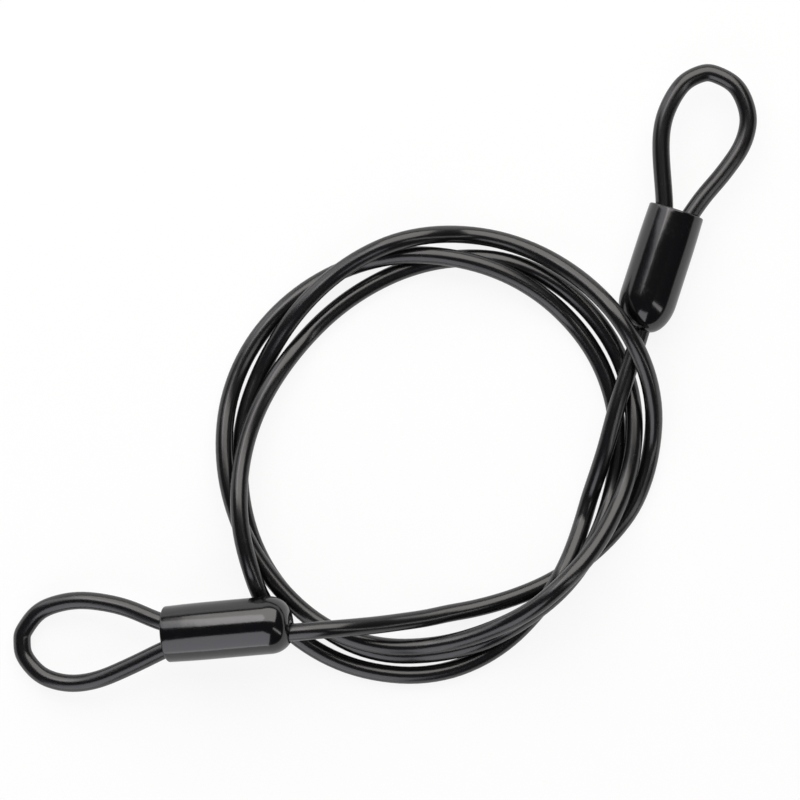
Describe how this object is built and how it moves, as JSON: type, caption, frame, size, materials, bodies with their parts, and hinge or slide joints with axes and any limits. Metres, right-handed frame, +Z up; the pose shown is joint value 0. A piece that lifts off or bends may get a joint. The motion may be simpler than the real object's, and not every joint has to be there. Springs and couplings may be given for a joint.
{
  "type": "cable lock",
  "caption": "Plastic-coated steel wire cable in a loose coil, with a swaged eye in a plastic sleeve at each end, to lock a bicycle or its wheel with a padlock or shackle lock.",
  "frame": {"origin": "centre of the bounding box seen from above, on the surface that the coil lies on", "axes": "+Z up from that surface; +X from the eye that points left to the other end of the lying cable lock; +Y towards the eye that points away, seen from above"},
  "size_m": [0.2118, 0.1786, 0.0262],
  "materials": {
    "jacket": "extruded black vinyl, glossy",
    "sleeve": "dip-moulded black vinyl, glossy",
    "ferrule": "swaged, dull",
    "rope": "galvanised, dull"
  },
  "bodies": {
    "root": {"coil_jacket": "jacket", "eye_jacket_a": "jacket", "eye_jacket_b": "jacket", "sleeve_a": "sleeve", "sleeve_b": "sleeve", "ferrule_a": "ferrule", "ferrule_b": "ferrule", "wire_rope": "rope"}
  },
  "joints": []
}
